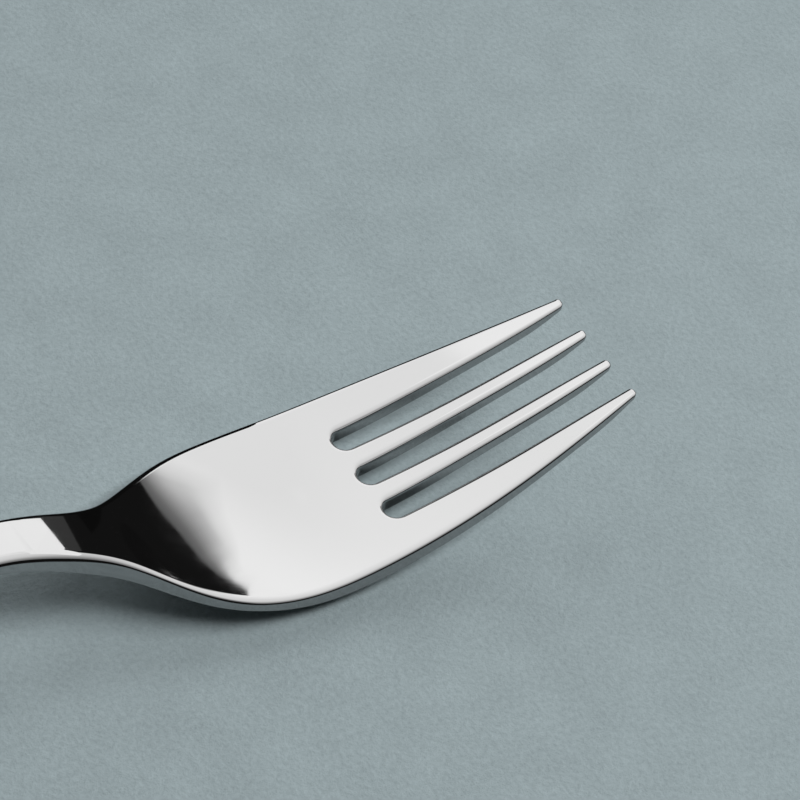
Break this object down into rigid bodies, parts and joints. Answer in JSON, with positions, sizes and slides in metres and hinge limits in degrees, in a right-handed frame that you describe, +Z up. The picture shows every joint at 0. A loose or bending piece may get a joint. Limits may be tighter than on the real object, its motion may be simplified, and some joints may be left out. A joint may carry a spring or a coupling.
{
  "type": "dinner fork",
  "caption": "Polished stainless steel dinner fork with an arched neck, a shallow bowl and slender tapered tines, resting tines up.",
  "frame": {"origin": "on the table plane, halfway along the fork, on its centre line", "axes": "+X from the handle's end to the tines, +Y to the fork's left side, +Z up from the table"},
  "size_m": [0.205, 0.0268, 0.0171],
  "materials": {
    "polished_steel": "mirror polished stainless steel"
  },
  "bodies": {
    "root": {"handle": "polished_steel", "neck": "polished_steel", "bowl": "polished_steel", "tine_left_outer": "polished_steel", "tine_left_inner": "polished_steel", "tine_right_inner": "polished_steel", "tine_right_outer": "polished_steel"}
  },
  "joints": []
}
